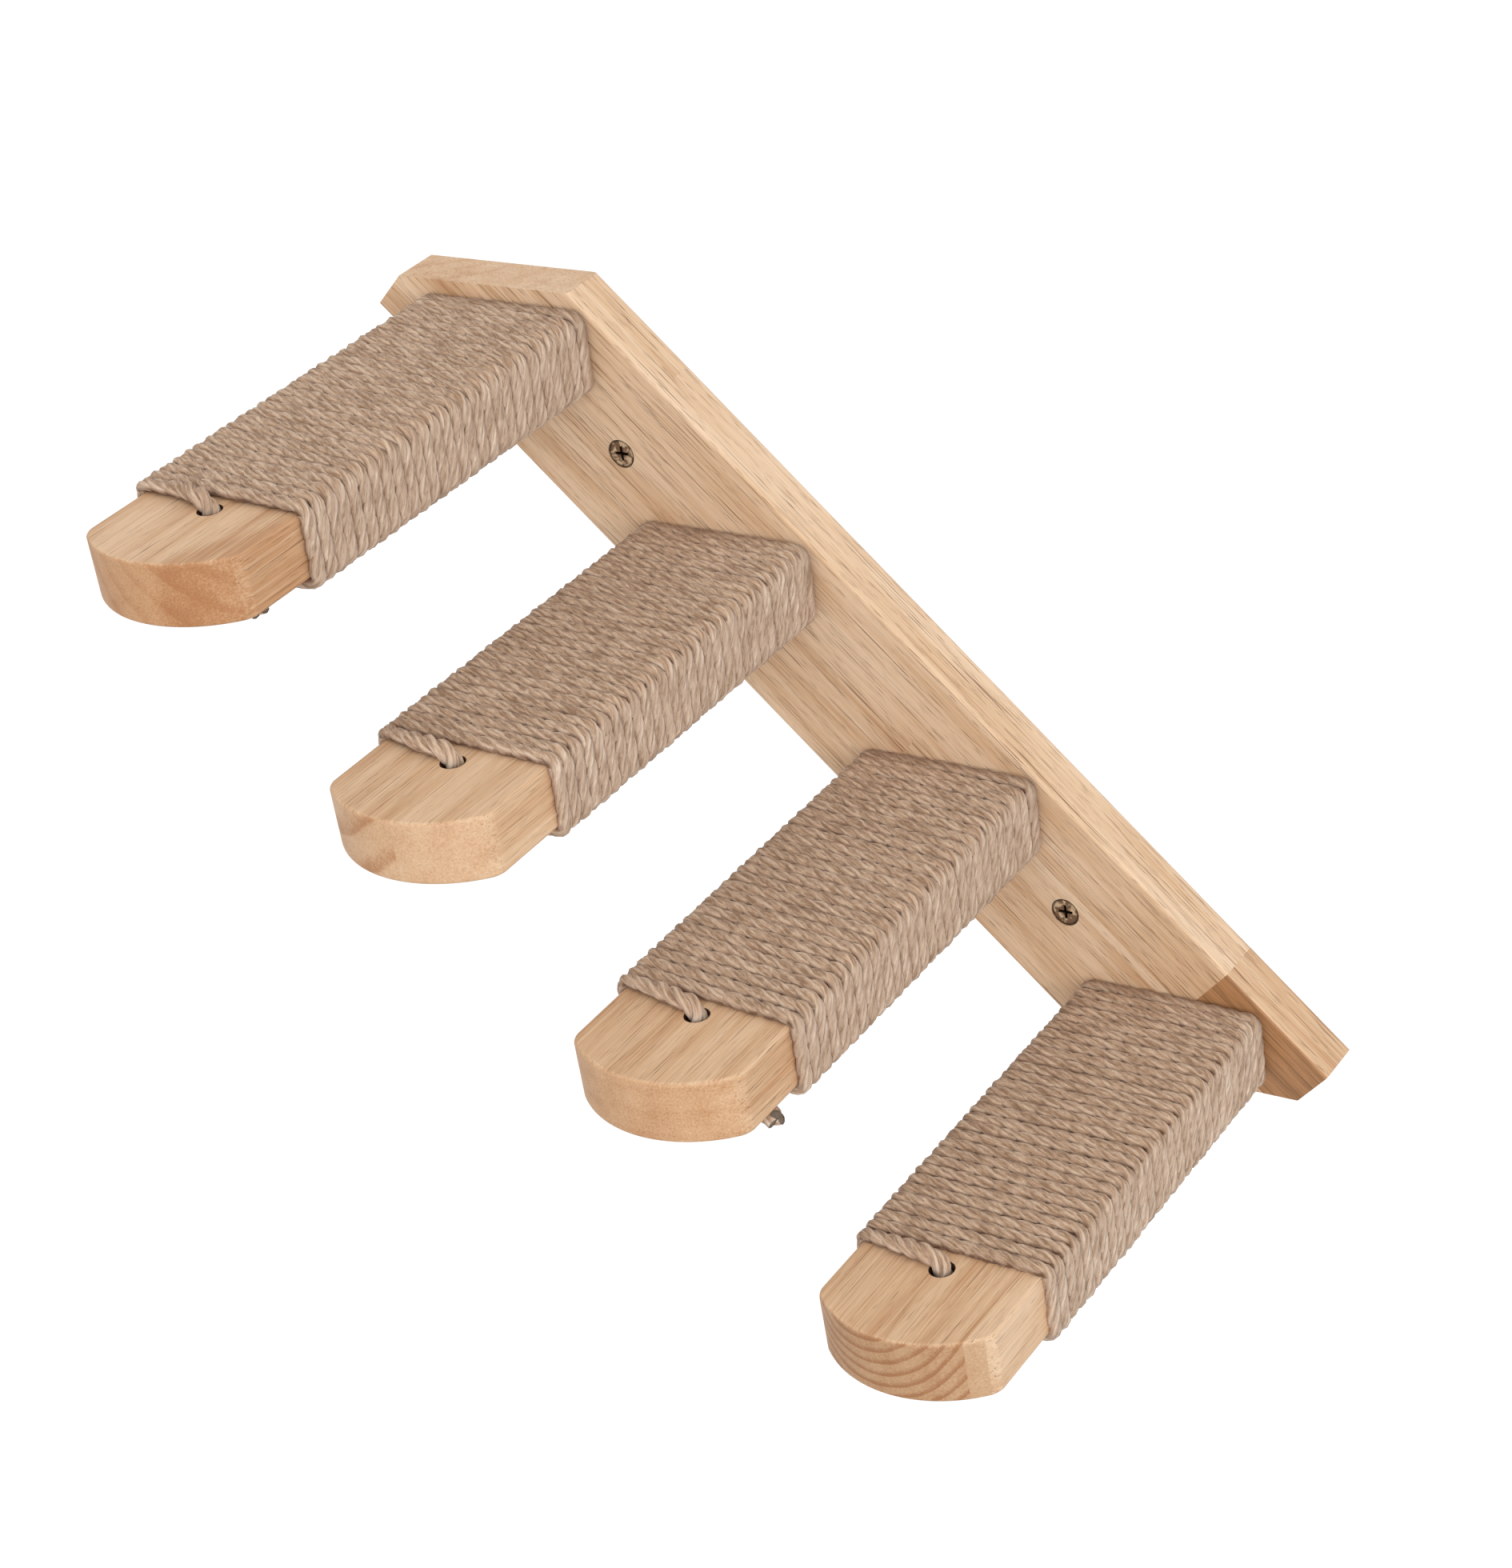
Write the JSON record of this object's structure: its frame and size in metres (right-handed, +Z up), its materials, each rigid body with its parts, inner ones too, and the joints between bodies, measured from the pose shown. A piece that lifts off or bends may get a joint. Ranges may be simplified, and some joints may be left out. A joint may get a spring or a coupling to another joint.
{
  "type": "cat wall shelf",
  "caption": "Slanting wall-mounted cat ladder shelf: a wooden plank carries level, rope-wrapped treads with bowed noses for a cat to climb and scratch.",
  "frame": {"origin": "middle of the plank's flat back face, which lies on the wall", "axes": "+X along the wall to the right as seen from the room, down the ladder; +Y into the wall; +Z up. The treads point along -Y"},
  "size_m": [0.3288, 0.2374, 0.2598],
  "materials": {
    "board_wood": "blond hardwood staves, edge glued, sanded with a thin clear matt coat",
    "tread_wood": "blond hardwood, sanded with eased edges and a thin clear matt coat",
    "rope_jute": "three-strand jute rope, dull and slightly hairy",
    "wall_screw_bronze": "steel with a dark bronze plating, worn bright in patches",
    "tread_screw_zinc": "zinc-plated steel"
  },
  "bodies": {
    "root": {"back_board": "board_wood", "tread_1": "tread_wood", "tread_2": "tread_wood", "tread_3": "tread_wood", "tread_4": "tread_wood", "rope_wrap_1": "rope_jute", "rope_wrap_2": "rope_jute", "rope_wrap_3": "rope_jute", "rope_wrap_4": "rope_jute", "tread_1_screw_left": "tread_screw_zinc", "tread_1_screw_right": "tread_screw_zinc", "tread_2_screw_left": "tread_screw_zinc", "tread_2_screw_right": "tread_screw_zinc", "tread_3_screw_left": "tread_screw_zinc", "tread_3_screw_right": "tread_screw_zinc", "tread_4_screw_left": "tread_screw_zinc", "tread_4_screw_right": "tread_screw_zinc", "wall_screw_upper": "wall_screw_bronze", "wall_screw_lower": "wall_screw_bronze"}
  },
  "joints": []
}
